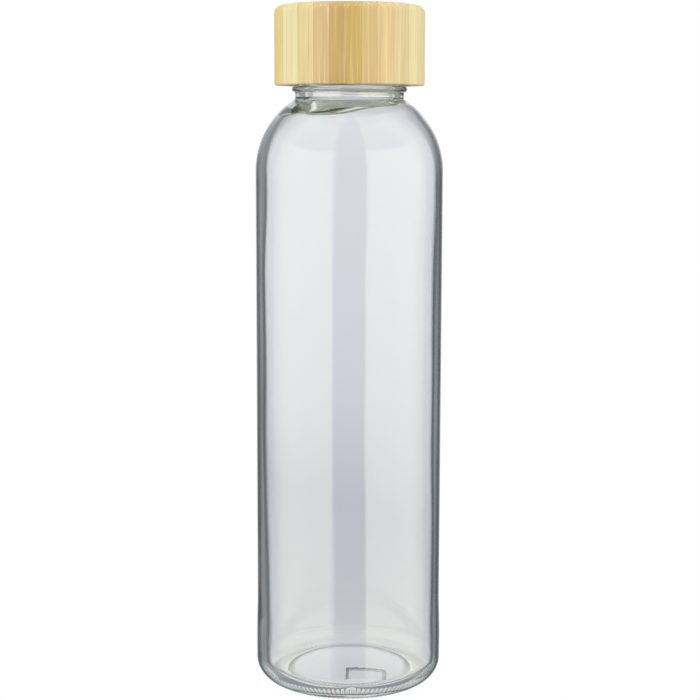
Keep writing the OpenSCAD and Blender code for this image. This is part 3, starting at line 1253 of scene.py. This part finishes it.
@dataclass
class Studio:
    """A plain pale floor, the room round it and the camera."""

    floor_radius: float = 4.0
    floor_sides: int = 64
    # Painted shadow under the object: how much darker the floor gets, and the distances from the axis where
    # it begins and where it is full.
    shade: float = 0.06
    painted_shadow_edge: Point = (0.033, 0.022)
    lens: float = 85.6
    distance: float = 0.5814
    eye: float = 0.198
    pitch: float = 7.79
    roll: float = -0.14
    aside: float = 0.0002

    def build_floor(self) -> None:
        """Makes the floor: pale all over, with a faint soft shadow painted where the object stands."""
        mesh = bpy.data.meshes.new("floor")
        angles = [TURN * side / self.floor_sides for side in range(self.floor_sides)]
        rim = [(self.floor_radius * math.cos(a), self.floor_radius * math.sin(a), 0.0) for a in angles]
        mesh.from_pydata(rim, [], [tuple(range(self.floor_sides))])
        floor = new_object("floor", mesh)
        material = bpy.data.materials.new("Pale floor")
        graph = emptied(material)
        x, y, _ = graph.position()
        # Painted shadow: the floor's glow is a little darker near the axis, under the object.
        light = 1.0 - graph.from_axis(x, y).ramp(*self.painted_shadow_edge) * self.shade
        glow = graph.add("ShaderNodeEmission", {"Color": graph.combine(light, light, light), "Strength": 1.0})
        clear = graph.add("ShaderNodeBsdfTransparent")
        under = graph.add("ShaderNodeNewGeometry").outputs["Backfacing"]
        mix = graph.add("ShaderNodeMixShader", {0: under, 1: glow.outputs[0], 2: clear.outputs[0]})
        graph.add("ShaderNodeOutputMaterial", {"Surface": mix.outputs[0]})
        mesh.materials.append(material)
        for ray in ("visible_diffuse", "visible_glossy", "visible_transmission", "visible_shadow"):
            setattr(floor, ray, False)

    def build_camera(self) -> None:
        """Stands the camera in front of the bottle, a little above its base and tipped down."""
        data = bpy.data.cameras.new("camera")
        data.lens = self.lens
        data.sensor_width = 36.0
        camera = new_object("camera", data)
        camera.location = (self.aside, -self.distance, self.eye)
        camera.rotation_euler = (math.radians(90 - self.pitch), math.radians(self.roll), 0.0)
        bpy.context.scene.camera = camera

    def build(self) -> None:
        """Makes the whole studio."""
        self.build_floor()
        self.build_camera()
        scene = bpy.context.scene
        scene.world = Room().world()
        scene.view_settings.view_transform = "Standard"
        scene.view_settings.look = "None"
        scene.cycles.max_bounces = 24
        scene.cycles.diffuse_bounces = 12
        scene.cycles.transmission_bounces = 24
        scene.cycles.glossy_bounces = 12
        scene.cycles.caustics_refractive = True


# Each slat's tone is its bamboo's own colour with painted shade in it: the tones run darker towards the
# middle slats, which face the camera, and lighter towards the outer slats, as the light fell on the cap.
SLATS_WITH_PAINTED_SHADE = (
    BambooFinish("bamboo_golden", (0.752, 0.586, 0.234)),
    BambooFinish("bamboo_pale", (0.714, 0.629, 0.346)),
    BambooFinish("bamboo_pale", (0.658, 0.531, 0.271)),
    BambooFinish("bamboo_tan", (0.590, 0.409, 0.196)),
    BambooFinish("bamboo_dark", (0.507, 0.341, 0.114)),
    BambooFinish("bamboo_golden", (0.531, 0.366, 0.113)),
    BambooFinish("bamboo_tan", (0.601, 0.427, 0.191)),
    BambooFinish("bamboo_tan", (0.669, 0.489, 0.241)),
    BambooFinish("bamboo_pale", (0.639, 0.515, 0.271)),
    BambooFinish("bamboo_golden", (0.737, 0.620, 0.333)),
)


def main() -> None:
    """Builds the bottle's pieces in order and then the studio."""
    logging.basicConfig(level=logging.INFO, format="%(name)s: %(message)s")
    tools = Tooling(turning_group(), thread_group(), dressing_group(), fibre_group(), moulding_group())
    thread = ScrewThread()
    glass = GlassBottle(thread)
    glass.build(tools, GlassFinish())
    SealRing().build(tools, MouldedFinish("Silicone", (0.93, 0.93, 0.91), 900.0, 0.03, 0.1, 0.02))
    polymer = MouldedFinish("Moulded polypropylene", (0.95, 0.95, 0.93), 1600.0, 0.02, 0.0, 0.015)
    ThreadedLiner(thread, glass).build(tools, polymer)
    BambooCap(SLATS_WITH_PAINTED_SHADE).build(tools)
    Studio().build()


if __name__ == "__main__":
    main()
